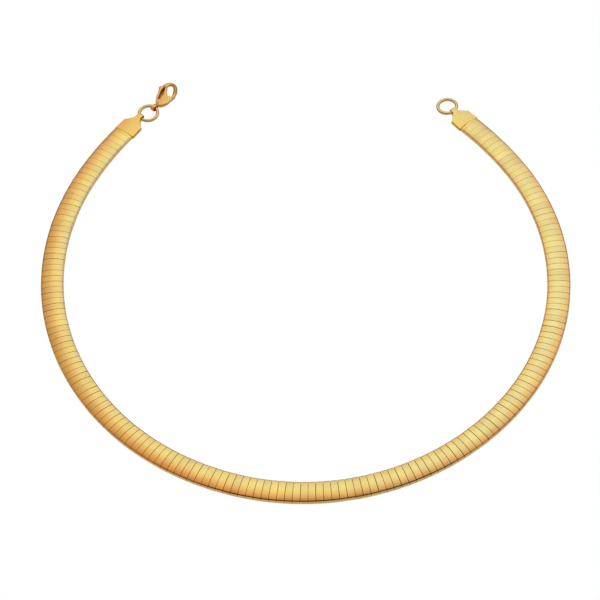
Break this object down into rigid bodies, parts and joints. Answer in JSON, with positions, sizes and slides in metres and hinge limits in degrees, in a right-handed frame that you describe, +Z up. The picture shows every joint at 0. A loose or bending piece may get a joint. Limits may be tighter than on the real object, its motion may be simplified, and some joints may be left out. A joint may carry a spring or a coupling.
{
  "type": "omega necklace",
  "caption": "Flexible domed-plate collar necklace on a woven band, lying open, with end caps, jump rings and a lobster clasp.",
  "frame": {"origin": "middle of the necklace's box in plan, on the surface that it lies on", "axes": "+Z up out of the surface, +Y toward the open ends at the nape, +X toward the catch's end"},
  "size_m": [0.185, 0.1899, 0.0024],
  "materials": {
    "plate_gold": "mirror-polished yellow gold",
    "weave_gold": "yellow gold wire mesh, satin",
    "cap_gold": "mirror-polished yellow gold",
    "ring_gold": "polished yellow gold wire",
    "clasp_gold": "polished warm yellow gold",
    "pin_gold": "polished rose-tinted gold"
  },
  "bodies": {
    "necklace": {"plates_left": "plate_gold", "plates_right": "plate_gold", "woven_band": "weave_gold", "end_cap_left": "cap_gold", "end_cap_right": "cap_gold", "jump_ring_left": "ring_gold", "jump_ring_right": "ring_gold", "clasp_body": "clasp_gold", "clasp_pin": "pin_gold"},
    "lever": {"clasp_lever": "clasp_gold"}
  },
  "joints": [
    {"name": "lever_hinge", "type": "hinge", "parent": "necklace", "child": "lever", "pos_m": [-0.0473, 0.08634, 0.00125], "axis": [0, 0, -1], "range_deg": [0, 18], "stiffness_Nm_per_rad": 0.002}
  ]
}
